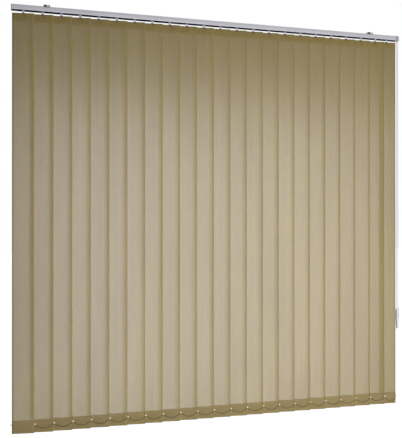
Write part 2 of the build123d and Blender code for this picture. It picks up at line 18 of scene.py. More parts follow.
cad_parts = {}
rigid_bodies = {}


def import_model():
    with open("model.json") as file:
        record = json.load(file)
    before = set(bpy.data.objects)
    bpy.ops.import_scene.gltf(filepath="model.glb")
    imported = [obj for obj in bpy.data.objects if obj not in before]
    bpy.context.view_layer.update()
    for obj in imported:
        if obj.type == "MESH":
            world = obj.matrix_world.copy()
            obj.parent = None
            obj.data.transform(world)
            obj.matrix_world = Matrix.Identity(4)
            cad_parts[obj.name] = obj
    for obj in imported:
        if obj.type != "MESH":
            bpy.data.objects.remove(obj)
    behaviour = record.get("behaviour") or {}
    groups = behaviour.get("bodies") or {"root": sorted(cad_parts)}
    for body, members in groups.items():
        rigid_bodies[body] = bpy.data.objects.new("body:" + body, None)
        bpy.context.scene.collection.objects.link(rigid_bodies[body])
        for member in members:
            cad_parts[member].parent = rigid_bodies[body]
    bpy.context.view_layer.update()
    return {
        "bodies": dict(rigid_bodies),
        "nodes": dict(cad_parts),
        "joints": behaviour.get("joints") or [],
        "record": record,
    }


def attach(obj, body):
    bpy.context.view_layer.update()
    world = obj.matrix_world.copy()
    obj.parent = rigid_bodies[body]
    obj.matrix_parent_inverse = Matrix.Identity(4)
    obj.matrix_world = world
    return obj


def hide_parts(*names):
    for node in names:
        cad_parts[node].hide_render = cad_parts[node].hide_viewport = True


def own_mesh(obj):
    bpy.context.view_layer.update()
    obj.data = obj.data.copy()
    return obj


LOG = logging.getLogger("vertical_blind")
SHARP_ANGLE = math.radians(40)
CLOSED_ANGLE = math.radians(8)
BANDS_PER_TURN = 20
STRAIGHT_DIAMETERS = 6
TOLERANCE = 1e-6
WHITE = (1, 1, 1, 1)

Colour = tuple[float, float, float]
Triple = tuple[float, float, float]
Pairs = tuple[tuple[float, float], ...]
Socket = bpy.types.NodeSocket
Material = bpy.types.Material


class Edge(Enum):
    """The two long edges of a closed louvre."""

    FRONT = 1
    REAR = -1


class Hand(Enum):
    """The two ends of the headrail, as seen from the room."""

    LEFT = -1
    RIGHT = 1


@dataclass(frozen=True)
class BlindSizes:
    """Sizes and levels shared by all the pieces, in metres, the same as the part's source."""

    louvres: int = 23
    width: float = 0.089
    drop: float = 1.717
    pitch: float = 0.077
    last_gap: float = 0.060
    fabric_top: float = -0.0377
    rail_top: float = -0.007
    rail_bottom: float = -0.028
    rail_depth: float = 0.027
    rail_left: float = -0.884
    rail_right: float = 0.879
    ear_rise: float = 0.036
    ear_reach: float = 0.0475
    chain_length: float = 0.088

    @property
    def fabric_bottom(self) -> float:
        """Level of the louvres' lower edge."""
        return self.fabric_top - self.drop

    @property
    def ear_level(self) -> float:
        """Level of the chain clips."""
        return self.fabric_bottom + self.ear_rise

    def hooks(self) -> list[float]:
        """Find the hooks along the rail.

        Returns:
            X of each hook, from left to right.
        """
        span = (self.louvres - 2) * self.pitch + self.last_gap
        places = [index * self.pitch - span / 2 for index in range(self.louvres - 1)]
        return places + [span / 2]

    def closed_place(self, hook_x: float) -> Matrix:
        """Matrix that takes a louvre made along X at the origin to its closed place at one hook."""
        return Matrix.Translation((hook_x, 0, 0)) @ Matrix.Rotation(-CLOSED_ANGLE, 4, "Z")


class Shading:
    """Node tree of a material or of the world, with short ways to add and join nodes."""

    def __init__(self, name: str, world: bool = False) -> None:
        """Start with an output alone.

        Args:
            name: name of the new material or world.
            world: whether it is a world.
        """
        self.owner = (bpy.data.worlds if world else bpy.data.materials).new(name)
        self.owner.use_nodes = True
        self.tree = self.owner.node_tree
        self.tree.nodes.clear()
        self.output = self.node("ShaderNodeOutputWorld" if world else "ShaderNodeOutputMaterial")

    @cached_property
    def place(self) -> Socket:
        """Object coordinates of the surface."""
        return self.node("ShaderNodeTexCoord").outputs["Object"]

    def node(self, kind: str, **settings: object) -> bpy.types.Node:
        """Add a node and set its properties.

        Args:
            kind: the node's type name.
            settings: properties of the node by name.

        Returns:
            The new node.
        """
        added = self.tree.nodes.new(kind)
        for name, value in settings.items():
            setattr(added, name, value)
        return added

    def filled(self, kind: str, **values: object) -> bpy.types.Node:
        """Add a node and set plain values on its own input sockets.

        Args:
            kind: the node's type name.
            values: values by socket name, with a low line for each blank.

        Returns:
            The new node.
        """
        added = self.node(kind)
        for name, value in values.items():
            added.inputs[name.replace("_", " ")].default_value = value
        return added

    def join(self, source: Socket, target: Socket) -> None:
        """Link an output to an input."""
        self.tree.links.new(source, target)

    def stretched(self, scale: Sequence[float], turn: float) -> Socket:
        """Scale the object coordinates apart on each axis and turn them about the upright.

        Args:
            scale: factors for X, Y and Z.
            turn: angle about Z, in radians.

        Returns:
            The mapped coordinates.
        """
        mapping = self.filled("ShaderNodeMapping", Scale=scale, Rotation=(0, 0, turn))
        self.join(self.place, mapping.inputs["Vector"])
        return mapping.outputs["Vector"]

    def grain(
        self, detail: float, stretch: Sequence[float] = (1, 1, 1), scale: float = 1.0, turn: float = 0.0
    ) -> Socket:
        """Add a noise texture.

        Args:
            detail: octaves of the noise.
            stretch: factors for X, Y and Z.
            scale: factor for all three.
            turn: angle about Z, in radians.

        Returns:
            Its value from 0 to 1.
        """
        texture = self.filled("ShaderNodeTexNoise", Scale=scale, Detail=detail)
        self.join(self.stretched(stretch, turn), texture.inputs["Vector"])
        return texture.outputs["Fac"]

    def bands(self, pitch: float, direction: str, distortion: float, turn: float = 0.0) -> Socket:
        """Add bands across one axis.

        Args:
            pitch: metres from band to band.
            direction: the axis that they cross.
            distortion: how far they waver.
            turn: angle about Z, in radians.

        Returns:
            Their value from 0 to 1.
        """
        texture = self.node("ShaderNodeTexWave", bands_direction=direction)
        texture.inputs["Scale"].default_value = 2 * math.pi / pitch / BANDS_PER_TURN
        texture.inputs["Distortion"].default_value = distortion
        texture.inputs["Detail"].default_value = 2.0
        self.join(self.stretched((1, 1, 1), turn), texture.inputs["Vector"])
        return texture.outputs["Fac"]

    def ramp(self, value: Socket, low: Colour, high: Colour, start: float = 0.35, end: float = 0.65) -> Socket:
        """Turn a value into a colour.

        Args:
            value: value from 0 to 1.
            low: colour up to the start.
            high: colour from the end on.
            start: value at which the colour begins to change.
            end: value at which it has changed.

        Returns:
            The colour.
        """
        ramp = self.node("ShaderNodeValToRGB")
        for stop, position, colour in zip(ramp.color_ramp.elements, (start, end), (low, high)):
            stop.position = position
            stop.color = (*colour, 1)
        self.join(value, ramp.inputs["Fac"])
        return ramp.outputs["Color"]

    def toned(self, value: Socket, colour: Colour, darker: float, lighter: float, *stops: float) -> Socket:
        """Make a colour darker and lighter by a value.

        Args:
            value: value from 0 to 1.
            colour: the colour between the two.
            darker: share taken off at 0.
            lighter: share added at 1.
            stops: start and end of the change.

        Returns:
            The patterned colour.
        """
        low = tuple(channel * (1 - darker) for channel in colour)
        high = tuple(min(1.0, channel * (1 + lighter)) for channel in colour)
        return self.ramp(value, low, high, *stops)

    def scaled(self, value: Socket, low: float, high: float) -> Socket:
        """Spread a value from 0 to 1 between two numbers.

        Args:
            value: the value.
            low: the number for 0.
            high: the number for 1.

        Returns:
            The spread value.
        """
        spread = self.filled("ShaderNodeMapRange", To_Min=low, To_Max=high)
        self.join(value, spread.inputs["Value"])
        return spread.outputs["Result"]

    def total(self, first: Socket, second: Socket, kind: str = "ADD", clamp: bool = False) -> Socket:
        """Join two values with one arithmetic operation.

        Args:
            first: the first value.
            second: the second value.
            kind: the operation.
            clamp: whether the result is kept between 0 and 1.

        Returns:
            The result.
        """
        maths = self.node("ShaderNodeMath", operation=kind, use_clamp=clamp)
        self.join(first, maths.inputs[0])
        self.join(second, maths.inputs[1])
        return maths.outputs["Value"]

    def relief(self, height: Socket, depth: float, strength: float) -> Socket:
        """Raise the surface normal by a height value.

        Args:
            height: value from 0 to 1.
            depth: the height of 1, in metres.
            strength: share of the bump that shows.

        Returns:
            The bumped normal.
        """
        bump = self.filled("ShaderNodeBump", Distance=depth, Strength=strength)
        self.join(height, bump.inputs["Height"])
        return bump.outputs["Normal"]

    def mixed(self, first: Socket, second: Socket, share: Socket | float) -> Socket:
        """Mix two shaders.

        Args:
            first: the shader at a share of 0.
            second: the shader at a share of 1.
            share: a plain number or a value.

        Returns:
            The mixed shader.
        """
        mix = self.node("ShaderNodeMixShader")
        if isinstance(share, float):
            mix.inputs["Fac"].default_value = share
        else:
            self.join(share, mix.inputs["Fac"])
        self.join(first, mix.inputs[1])
        self.join(second, mix.inputs[2])
        return mix.outputs["Shader"]

    def surface(self, **values: object) -> bpy.types.Node:
        """Add the main surface shader, with plain values set on its own sockets."""
        return self.filled("ShaderNodeBsdfPrincipled", **values)

    def show(self, shader: Socket) -> bpy.types.ID:
        """Send a shader to the output and return the material or world."""
        self.join(shader, self.output.inputs["Surface"])
        return self.owner


@dataclass(frozen=True)
class LouvreCloth:
    """Woven slub fabric in olive beige, loose enough that daylight from behind comes through its pores."""

    name: str = "louvre_cloth"
    yarn: Colour = (0.44, 0.335, 0.128)
    glow: Colour = (0.935, 0.93, 0.97)
    glow_share: float = 0.50
    slub_depth: float = 0.12
    roughness: float = 0.88
    warp_pitch: float = 0.0009
    weft_pitch: float = 0.00099
    slub: Triple = (700, 700, 26)
    streak: Triple = (170, 170, 1.6)
    pick: Triple = (60, 60, 900)
    cloud: Triple = (9, 9, 2.2)

    def tinted(self, shading: Shading, colour: Colour, threads: Socket) -> Socket:
        """Colour made darker and lighter by the threads."""
        return shading.toned(threads, colour, self.slub_depth, self.slub_depth, 0.25, 0.75)

    def build(self) -> Material:
        """Make the cloth's material.

        Returns:
            The material, half of it a surface and half of it a glow from behind.
        """
        shading = Shading(self.name)
        slub = shading.grain(4.0, self.slub, turn=CLOSED_ANGLE)
        streak, pick, cloud = (
            shading.grain(2.0, stretch, turn=CLOSED_ANGLE) for stretch in (self.streak, self.pick, self.cloud)
        )
        warp = shading.bands(self.warp_pitch, "X", 0.6, CLOSED_ANGLE)
        weft = shading.bands(self.weft_pitch, "Z", 0.8, CLOSED_ANGLE)
        fine = shading.total(shading.scaled(slub, 0.0, 0.55), shading.scaled(pick, 0.0, 0.15))
        wide = shading.total(shading.scaled(streak, 0.0, 0.30), shading.scaled(cloud, -0.10, 0.10))
        threads = shading.total(fine, wide)
        front = shading.surface(
            Roughness=self.roughness, Specular_IOR_Level=0.06, Sheen_Weight=0.04, Sheen_Roughness=0.5
        )
        shading.join(self.tinted(shading, self.yarn, threads), front.inputs["Base Color"])
        through = shading.node("ShaderNodeBsdfTranslucent")
        shading.join(self.tinted(shading, self.glow, threads), through.inputs["Color"])
        weave = shading.total(shading.total(warp, weft), fine)
        normal = shading.relief(shading.scaled(weave, 0.0, 0.5), 0.0002, 0.5)
        shading.join(normal, front.inputs["Normal"])
        shading.join(normal, through.inputs["Normal"])
        return shading.show(shading.mixed(front.outputs["BSDF"], through.outputs["BSDF"], self.glow_share))


@dataclass(frozen=True)
class Moulding:
    """Moulded plastic with a faint texture and slight unevenness of tone."""

    name: str
    colour: Colour
    roughness: float = 0.42
    tone_change: float = 0.06
    gloss: float = 0.5
    grain: float = 900.0
    patch: float = 38.0

    def build(self) -> Material:
        """Make the plastic's material.

        Returns:
            The material.
        """
        shading = Shading(self.name)
        grain = shading.grain(3.0, scale=self.grain)
        patch = shading.grain(2.0, scale=self.patch)
        body = shading.surface(Roughness=self.roughness, IOR=1.46, Specular_IOR_Level=self.gloss)
        tone = shading.toned(patch, self.colour, self.tone_change, self.tone_change / 2)
        shading.join(tone, body.inputs["Base Color"])
        shading.join(shading.scaled(grain, self.roughness - 0.06, self.roughness + 0.1), body.inputs["Roughness"])
        shading.join(shading.relief(grain, 0.00006, 0.35), body.inputs["Normal"])
        return shading.show(body.outputs["BSDF"])


@dataclass(frozen=True)
class DrawnMetal:
    """Metal or metal lacquer with fine lines along the rail."""

    name: str
    colour: Colour
    metallic: float
    roughness: float
    lines: Triple = (14.0, 2600.0, 2600.0)
    smudge: Triple = (5, 40, 40)

    def build(self) -> Material:
        """Make the metal's material.

        Returns:
            The material.
        """
        shading = Shading(self.name)
        lines = shading.grain(3.0, self.lines)
        smudge = shading.grain(3.0, self.smudge)
        body = shading.surface(Metallic=self.metallic, Roughness=self.roughness, Anisotropic=0.35)
        shading.join(shading.toned(smudge, self.colour, 0.07, 0.04), body.inputs["Base Color"])
        shading.join(shading.scaled(lines, self.roughness - 0.08, self.roughness + 0.1), body.inputs["Roughness"])
        shading.join(shading.relief(lines, 0.00003, 0.3), body.inputs["Normal"])
        return shading.show(body.outputs["BSDF"])


@dataclass(frozen=True)
class Braid:
    """Braided cord: small crossing strands with a soft sheen."""

    name: str
    colour: Colour
    shade: Colour
    strand_pitch: float = 0.0011

    def build(self) -> Material:
        """Make the cord's material.

        Returns:
            The material.
        """
        shading = Shading(self.name)
        first = shading.bands(self.strand_pitch, "DIAGONAL", 0.4)
        second = shading.bands(self.strand_pitch, "Z", 0.6)
        strands = shading.total(first, second, "MULTIPLY")
        body = shading.surface(Roughness=0.7, Sheen_Weight=0.3, Specular_IOR_Level=0.25)
        shading.join(shading.ramp(strands, self.shade, self.colour, 0.1, 0.6), body.inputs["Base Color"])
        shading.join(shading.relief(strands, 0.00015, 0.6), body.inputs["Normal"])
        return shading.show(body.outputs["BSDF"])


class Finishes:
    """All the materials of the blind, made once."""

    def __init__(self) -> None:
        """Build every finish."""
        self.cloth = LouvreCloth().build()
        self.stitch = Moulding("weld_line", (0.24, 0.19, 0.11), 0.8).build()
        self.hook = Moulding("hook_plastic", (0.60, 0.60, 0.66), 0.4).build()
        self.clip = Moulding("clip_plastic", (1.0, 0.95, 0.78), 0.22, tone_change=0.0).build()
        self.ballast = Moulding("ballast_plastic", (0.78, 0.76, 0.72), 0.5).build()
        # Dark brown hanger plate: painted shade that darkens the top pocket under the rail.
        self.hanger = Moulding("hanger_plastic", (0.10, 0.075, 0.04), 0.5).build()
        self.carrier = Moulding("carrier_plastic", (0.74, 0.74, 0.75), 0.4).build()
        self.end = Moulding("end_plastic", (0.40, 0.41, 0.44), 0.38).build()
        self.white = Moulding("white_plastic", (0.83, 0.82, 0.84), 0.28, tone_change=0.03).build()
        # Near-black strip down the cord weight's side toward the louvres: painted shade.
        self.grip = Moulding("grip_rubber", (0.035, 0.03, 0.045), 0.8, gloss=0.1).build()
        # Near-black painted shade for the rail's slot: the underside of the lips and the inside of the channel.
        self.slot_shade = Moulding("lip_liner", (0.012, 0.012, 0.02), 0.9, gloss=0.0).build()
        self.rail = DrawnMetal("rail_lacquer", (0.60, 0.59, 0.64), 0.10, 0.46).build()
        self.steel = DrawnMetal("clip_steel", (0.085, 0.07, 0.055), 0.5, 0.4, (900.0, 60.0, 900.0)).build()
        self.rod = DrawnMetal("rod_metal", (0.66, 0.66, 0.67), 0.9, 0.3).build()
        # Dark brown chain: painted shadow, in place of the dark shadow line under the pale chain.
        self.chain = Moulding("chain_plastic", (0.11, 0.07, 0.022), 0.6, gloss=0.1).build()
        self.cord = Braid("pull_cord_braid", (0.36, 0.34, 0.43), (0.20, 0.19, 0.25)).build()


def stand(name: str, data: bpy.types.ID) -> bpy.types.Object:
    """Put an object made of some data in the scene.

    Args:
        name: the object's name.
        data: its mesh, curve, camera or light.

    Returns:
        The new object.
    """
    made = bpy.data.objects.new(name, data)
    bpy.context.scene.collection.objects.link(made)
    return made


def settle(piece: bpy.types.Object, body: str, nodes: Iterable[str]) -> None:
    """Put a piece on its body and report it.

    Args:
        piece: the piece.
        body: the body it moves with.
        nodes: CAD nodes that it stands for.
    """
    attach(piece, body)
    names = list(nodes)
    if names:
        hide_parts(*names)
    LOG.info("%s rides on %s for %s", piece.name, body, ", ".join(names) or "no node")


def round_cord(
    name: str, points: Sequence[Sequence[float]], diameter: float, finish: Material, closed: bool = False
) -> bpy.types.Object:
    """Make a smooth round cord through a few control points.

    Args:
        name: the piece's name.
        points: its control points in order.
        diameter: its thickness.
        finish: its material.
        closed: whether it runs in a loop, which is hidden and has fewer sides.

    Returns:
        The curve object.
    """
    data = bpy.data.curves.new(name, "CURVE")
    data.dimensions = "3D"
    data.bevel_depth = diameter / 2
    data.bevel_resolution = 2 if closed else 3
    data.resolution_u = 10 if closed else 12
    data.use_fill_caps = not closed
    spline = data.splines.new("NURBS")
    spline.points.add(len(points) - 1)
    for control, place in zip(spline.points, points):
        control.co = (*place, 1)
    spline.order_u = 3
    spline.use_endpoint_u = not closed
    spline.use_cyclic_u = closed
    data.materials.append(finish)
    return stand(name, data)


def new_verts(made: Iterable[bmesh.types.BMElem]) -> list[bmesh.types.BMVert]:
    """Pick the vertices out of what an operator made."""
    return [part for part in made if isinstance(part, bmesh.types.BMVert)]


class Workpiece:
    """A mesh being shaped with bmesh operators, in metres."""

    def __init__(self) -> None:
        """Start with nothing."""
        self.mesh = bmesh.new()

    def block(self, size: Sequence[float], centre: Sequence[float], bevel: float = 0.0) -> None:
        """Add a block with rounded edges.

        Args:
            size: length along X, Y and Z.
            centre: middle of the block.
            bevel: width of the rounding.
        """
        place = Matrix.Translation(centre) @ Matrix.Diagonal((*size, 1))
        made = bmesh.ops.create_cube(self.mesh, size=1.0, matrix=place)
        if bevel:
            self.round_off(list({edge for vert in made["verts"] for edge in vert.link_edges}), bevel)

    def round_off(self, edges: Sequence[bmesh.types.BMEdge], width: float, steps: int = 2) -> None:
        """Round a set of edges.

        Args:
            edges: the edges.
            width: width of the rounding.
            steps: segments across it.
        """
        bmesh.ops.bevel(
            self.mesh,
            geom=edges,
            offset=width,
            offset_type="OFFSET",
            segments=steps,
            profile=0.5,
            affect="EDGES",
            material=-1,
            clamp_overlap=True,
        )

    def rod(
        self,
        start: Sequence[float],
        end: Sequence[float],
        radius: float,
        end_radius: float | None = None,
        sides: int = 16,
        bevel: float = 0.0,
    ) -> None:
        """Add a round bar or cone from one point to another.

        Args:
            start: middle of the first end.
            end: middle of the second end.
            radius: radius at the start.
            end_radius: radius at the end, the same where it isn't given.
            sides: flats round it.
            bevel: rounding of the rims.
        """
        path = Vector(end) - Vector(start)
        turn = path.to_track_quat("Z", "Y").to_matrix().to_4x4()
        made = bmesh.ops.create_cone(
            self.mesh,
            cap_ends=True,
            cap_tris=False,
            segments=sides,
            radius1=radius,
            radius2=radius if end_radius is None else end_radius,
            depth=path.length,
            matrix=Matrix.Translation((Vector(start) + Vector(end)) / 2) @ turn,
        )
        if bevel:
            caps = {face for vert in made["verts"] for face in vert.link_faces if len(face.verts) == sides}
            self.round_off(list({edge for face in caps for edge in face.edges}), bevel)

    def ball(self, centre: Sequence[float], radius: float) -> None:
        """Add a small ball of few faces."""
        place = Matrix.Translation(centre)
        bmesh.ops.create_uvsphere(self.mesh, u_segments=6, v_segments=4, radius=radius, matrix=place)

    def lathe(self, outline: Sequence[tuple[float, float]], base: Sequence[float], steps: int) -> None:
        """Turn an outline of radius and height about an upright axis.

        Args:
            outline: radius and height of each point, from the bottom axis to the top axis.
            base: the point that heights are counted from, on the axis.
            steps: segments round the turn.
        """
        origin = Vector(base)
        verts = [self.mesh.verts.new(origin + Vector((radius, 0, height))) for radius, height in outline]
        edges = [self.mesh.edges.new(pair) for pair in zip(verts, verts[1:])]
        bmesh.ops.spin(
            self.mesh,
            geom=verts + edges,
            cent=origin,
            axis=(0, 0, 1),
            dvec=(0, 0, 0),
            angle=2 * math.pi,
            steps=steps,
            use_merge=True,
            use_normal_flip=False,
            use_duplicate=False,
        )
        bmesh.ops.remove_doubles(self.mesh, verts=self.mesh.verts[:], dist=TOLERANCE)
        self.face_outwards()

    def push(self, face: bmesh.types.BMFace, way: Sequence[float]) -> None:
        """Push a face out into a solid along one way."""
        pushed = bmesh.ops.extrude_face_region(self.mesh, geom=[face])["geom"]
        bmesh.ops.translate(self.mesh, verts=new_verts(pushed), vec=way)

    def profile(self, outline: Iterable[tuple[float, float]], start_x: float, end_x: float, bevel: float) -> None:
        """Draw an outline across the rail and push it along X.

        Args:
            outline: Y and Z of each corner in turn.
            start_x: X of the first end.
            end_x: X of the second end.
            bevel: rounding of the long edges.
        """
        corners = [self.mesh.verts.new((start_x, y, z)) for y, z in outline]
        self.push(self.mesh.faces.new(corners), (end_x - start_x, 0, 0))
        self.face_outwards()
        spans = ((edge, edge.verts[0].co.x - edge.verts[1].co.x) for edge in self.mesh.edges)
        self.round_off([edge for edge, span in spans if abs(span) > TOLERANCE], bevel)

    def face_outwards(self) -> None:
        """Point all the faces outwards."""
        bmesh.ops.recalc_face_normals(self.mesh, faces=self.mesh.faces[:])

    def add_copy(self, other: Workpiece, matrix: Matrix) -> None:
        """Add a copy of another piece.

        Args:
            other: the piece that is copied.
            matrix: how the copy is moved.
        """
        data = bpy.data.meshes.new("copied_part")
        other.mesh.to_mesh(data)
        data.transform(matrix)
        self.mesh.from_mesh(data)
        bpy.data.meshes.remove(data)

    def placed(self, matrix: Matrix) -> Workpiece:
        """Copy this piece and move the copy.

        Args:
            matrix: how it is moved.

        Returns:
            The copy.
        """
        twin = Workpiece()
        twin.mesh.free()
        twin.mesh = self.mesh.copy()
        bmesh.ops.transform(twin.mesh, matrix=matrix, verts=twin.mesh.verts[:])
        return twin

    def finished(self, name: str) -> bpy.types.Object:
        """Turn the mesh into an object and let go of it.

        Args:
            name: the object's name.

        Returns:
            The new object.
        """
        data = bpy.data.meshes.new(name)
        self.mesh.to_mesh(data)
        self.mesh.free()
        return stand(name, data)

    def publish(
        self, name: str, finish: Material, body: str, slot: str, nodes: Iterable[str] = ()
    ) -> bpy.types.Object:
        """Turn the mesh into a piece that rides on a body, smooth across its shallow angles.

        Args:
            name: the piece's name.
            finish: its material.
            body: the body it moves with.
            slot: the record's material slot, not used.
            nodes: CAD nodes that it stands for.

        Returns:
            The new object.
        """
        for face in self.mesh.faces:
            face.smooth = True
        piece = self.finished(name)
        piece.data.set_sharp_from_angle(angle=SHARP_ANGLE)
        piece.data.materials.append(finish)
        settle(piece, body, nodes)
        return piece


@dataclass
class Louvre:
    """One fabric louvre with its hanger, ballast plate, chain clips, weld lines and hook."""

    sizes: BlindSizes
    finishes: Finishes
    pocket_half: float = 0.0006
    cloth_thickness: float = 0.0003
    top_pocket: float = 0.030
    foot_pocket: float = 0.049
    taper: float = 0.003
    slit_half: float = 0.0047
    slit_depth: float = 0.0045
    flap: float = 0.004
    rows: int = 22
    columns: tuple[float, ...] = (0.036, 0.028, 0.020, 0.012)
    most_bow: tuple[float, float] = (-0.0006, 0.0009)
    most_wave: tuple[float, float] = (0.0002, 0.0006)
    wave_turns: tuple[float, float] = (1.2, 2.4)
    plate: float = 0.0007
    plate_side_gap: float = 0.002
    plate_round: float = 0.0003
    hanger_height: float = 0.0235
    ballast_height: float = 0.040
    ear_height: float = 0.004
    tab_width: float = 0.009
    tab_rise: float = 0.0066
    tab_round: float = 0.00025
    sill_round: float = 0.0002
    window: float = 0.0032
    clip_radius: float = 0.0036
    clip_thickness: float = 0.0018
    clip_round: float = 0.0006
    rim_sides: int = 20
    pin_sides: int = 12
    button_height: float = 0.0024
    button_radius: float = 0.0031
    button_tip: float = 0.0028
    button_round: float = 0.0005
    stem_radius: float = 0.0024
    pinion_drop: float = 0.0134
    pinion_height: float = 0.0044
    pinion_radius: float = 0.0038
    pinion_root: float = 0.0029
    pinion_corners: int = 24
    collar_radius: float = 0.0039
    collar_top_radius: float = 0.0036
    collar_sink: float = 0.0002
    collar_rise: float = 0.0012
    collar_round: float = 0.0002
    hook_width: float = 0.0078
    hook_depth: float = 0.0046
    hook_slot: float = 0.0014
    hook_pin: float = 0.002
    hook_top_gap: float = 0.0018
    bridge: float = 0.0009
    cheek_gap: float = 0.0002
    cheek_round: float = 0.0005
    pin_rise: float = 0.0005
    pin_sink: float = 0.0002
    weld_spots: int = 20
    weld_margin: float = 0.005
    weld_share: float = 0.56
    weld_size: tuple[float, float] = (0.00018, 0.0007)
    weld_offset: float = 0.0018

    def turned_edge(self, level: float, way: int) -> list[tuple[float, float]]:
        """Find the points where the cloth turns round inside an edge.

        Args:
            level: level of the edge.
            way: 1 where the cloth comes up to the edge from behind, -1 where it comes down from the front.

        Returns:
            Y and Z of each point.
        """
        half = way * self.pocket_half
        shares = ((-1.0, 1.0), (-0.7, 0.3), (0.0, 0.0), (0.7, 0.3), (1.0, 1.0))
        return [(half * across, level - half * down) for across, down in shares]

    def cloth_line(self) -> list[tuple[float, float]]:
        """Draw the line that the cloth takes from its upper flap over the top, down, and up into its foot flap.

        Returns:
            Y and Z of each point.
        """
        top, bottom = self.sizes.fabric_top, self.sizes.fabric_bottom
        half, lap = self.pocket_half, self.cloth_thickness
        top_seam, foot_seam = top - self.top_pocket, bottom + self.foot_pocket
        step = (foot_seam - top_seam) / self.rows
        return [
            (-lap, top_seam - self.flap),
            (-lap, top_seam),
            (-half, top_seam + self.taper),
            (-half, top - self.slit_depth),
            *self.turned_edge(top, 1),
            (half, top - self.slit_depth),
            (half, top_seam + self.taper),
            *((0.0, top_seam + step * row) for row in range(self.rows + 1)),
            (half, foot_seam - self.taper),
            *self.turned_edge(bottom, -1),
            (-half, foot_seam - self.taper),
            (-lap, foot_seam),
            (-lap, foot_seam + self.flap),
        ]

    def weave_cloth(self) -> Workpiece:
        """Make the cloth as one folded sheet, slit where the hanger's tab comes through.

        Returns:
            The sheet, along X at the origin.
        """
        piece = Workpiece()
        right = [self.slit_half, *reversed(self.columns), self.sizes.width / 2]
        columns = [-x for x in reversed(right)] + right
        verts = [piece.mesh.verts.new((columns[0], y, z)) for y, z in self.cloth_line()]
        edges = [piece.mesh.edges.new(pair) for pair in zip(verts, verts[1:])]
        for first, second in zip(columns, columns[1:]):
            made = bmesh.ops.extrude_edge_only(piece.mesh, edges=edges)["geom"]
            moved = new_verts(made)
            edges = [part for part in made if isinstance(part, bmesh.types.BMEdge)]
            edges = [edge for edge in edges if all(vert in moved for vert in edge.verts)]
            bmesh.ops.translate(piece.mesh, verts=moved, vec=(second - first, 0, 0))
        slit_level = self.sizes.fabric_top - self.slit_depth
        middles = [(face, face.calc_center_median()) for face in piece.mesh.faces]
        slit = [face for face, middle in middles if abs(middle.x) < self.slit_half and middle.z > slit_level]
        bmesh.ops.delete(piece.mesh, geom=slit, context="FACES")
        piece.face_outwards()
        return piece

    def sway(self, piece: Workpiece, number: int) -> None:
        """Give one louvre's cloth the slight bow and wave of hung fabric.

        Args:
            piece: the cloth before it is moved to its hook.
            number: the louvre's number, which fixes its own wave.
        """
        chance = random.Random(number)
        bow = chance.uniform(*self.most_bow)
        wave = chance.uniform(*self.most_wave)
        phase = chance.uniform(0, 2 * math.pi)
        turns = chance.uniform(*self.wave_turns)
        top = self.sizes.fabric_top - self.top_pocket
        length = self.sizes.drop - self.top_pocket - self.foot_pocket
        for vert in piece.mesh.verts:
            down = (top - vert.co.z) / length
            if 0 < down < 1:
                across = vert.co.x / (self.sizes.width / 2)
                curl = bow * (1 - across**2)
                ripple = wave * across * math.sin(2 * math.pi * turns * down + phase)
                vert.co.y += math.sin(math.pi * down) * (curl + ripple)

    def mould_hanger(self) -> Workpiece:
        """Make the hanger plate with its windowed tab.

        Returns:
            The plate, along X at the origin.
        """
        piece = Workpiece()
        top = self.sizes.fabric_top
        plate_top = top - self.taper
        width = self.sizes.width - 2 * self.plate_side_gap
        middle = plate_top - self.hanger_height / 2
        piece.block((width, self.plate, self.hanger_height), (0, 0, middle), self.plate_round)
        tab_top = top + self.tab_rise
        window_top = tab_top - self.window / 2
        side = (self.tab_width - self.window) / 2
        for sign in (-1, 1):
            place = (sign * (self.window + side) / 2, 0, (tab_top + plate_top) / 2)
            piece.block((side, self.plate, tab_top - plate_top), place, self.tab_round)
        lintel = (self.tab_width, self.plate, tab_top - window_top)
        piece.block(lintel, (0, 0, (tab_top + window_top) / 2), self.tab_round)
        sill = window_top - self.window - plate_top
        piece.block((self.tab_width, self.plate, sill), (0, 0, plate_top + sill / 2), self.sill_round)
        return piece

    def mould_ballast(self) -> Workpiece:
        """Make the ballast plate with its two ears.

        Returns:
            The plate, along X at the origin.
        """
        piece = Workpiece()
        width = self.sizes.width - 2 * self.plate_side_gap
        middle = self.sizes.fabric_bottom + self.foot_pocket / 2
        piece.block((width, self.plate, self.ballast_height), (0, 0, middle), self.plate_round)
        ears = (2 * self.sizes.ear_reach, self.plate, self.ear_height)
        piece.block(ears, (0, 0, self.sizes.ear_level), self.plate_round)
        return piece

    def mould_clips(self) -> Workpiece:
        """Make the two round chain clips, each with a raised button that holds the chain.

        Returns:
            Both clips, along X at the origin.
        """
        piece = Workpiece()
        level = self.sizes.ear_level
        half = self.clip_thickness / 2
        for edge in Edge:
            x = edge.value * self.sizes.ear_reach
            ends = ((x, -half, level), (x, half, level))
            piece.rod(*ends, self.clip_radius, sides=self.rim_sides, bevel=self.clip_round)
            foot = (x, -edge.value * half, level)
            tip = (x, -edge.value * (half + self.button_height), level)
            piece.rod(foot, tip, self.button_radius, self.button_tip, bevel=self.button_round)
        return piece

    def cut_pinion(self, piece: Workpiece, level: float) -> None:
        """Add the toothed head of the stem.

        Args:
            piece: the hook that it belongs to.
            level: level of its underside.
        """
        wheel = bmesh.ops.create_circle(
            piece.mesh,
            cap_ends=True,
            segments=self.pinion_corners,
            radius=self.pinion_radius,
            matrix=Matrix.Translation((0, 0, level)),
        )["verts"]
        inward = self.pinion_root / self.pinion_radius
        bmesh.ops.scale(piece.mesh, vec=(inward, inward, 1), verts=wheel[::2])
        piece.push(wheel[0].link_faces[0], (0, 0, self.pinion_height))

